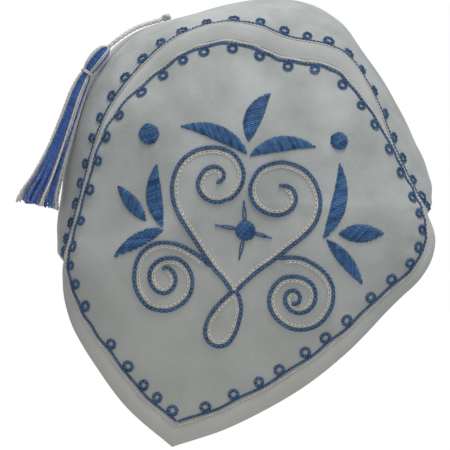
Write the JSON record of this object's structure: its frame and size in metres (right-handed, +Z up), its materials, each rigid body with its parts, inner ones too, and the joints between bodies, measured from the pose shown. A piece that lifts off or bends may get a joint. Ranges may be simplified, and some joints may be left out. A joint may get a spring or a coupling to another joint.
{
  "type": "embroidered felt cap with ear flaps",
  "caption": "Soft white felt cap with pointed ear flaps, bound edges and a tassel on a cord, worn on the head.",
  "frame": {"origin": "The middle of the head opening, on the cap's middle plane, between the strip's hem at the nape and its hem at the forehead, where a head goes in. The flaps hang below it.", "axes": "+X points to the wearer's front, +Y to the wearer's left, +Z up along the panel's embroidered figure. The cap is symmetrical about Y apart from its tassel and cord."},
  "size_m": [0.2261, 0.1624, 0.2516],
  "materials": {
    "right_side_panel": "brushed felt",
    "left_side_panel": "brushed felt",
    "right_binding": "smooth felt",
    "left_binding": "smooth felt",
    "crown_strip": "brushed felt",
    "cord_knot": "twisted yarn",
    "tassel_cord": "twisted yarn",
    "tassel": "cut yarn",
    "tassel_neck_wrap": "wound thread"
  },
  "bodies": {
    "root": {"right_side_panel": "right_side_panel", "left_side_panel": "left_side_panel", "right_binding": "right_binding", "left_binding": "left_binding", "crown_strip": "crown_strip", "cord_knot": "cord_knot", "tassel_cord": "tassel_cord", "tassel": "tassel", "tassel_neck_wrap": "tassel_neck_wrap"}
  },
  "joints": []
}
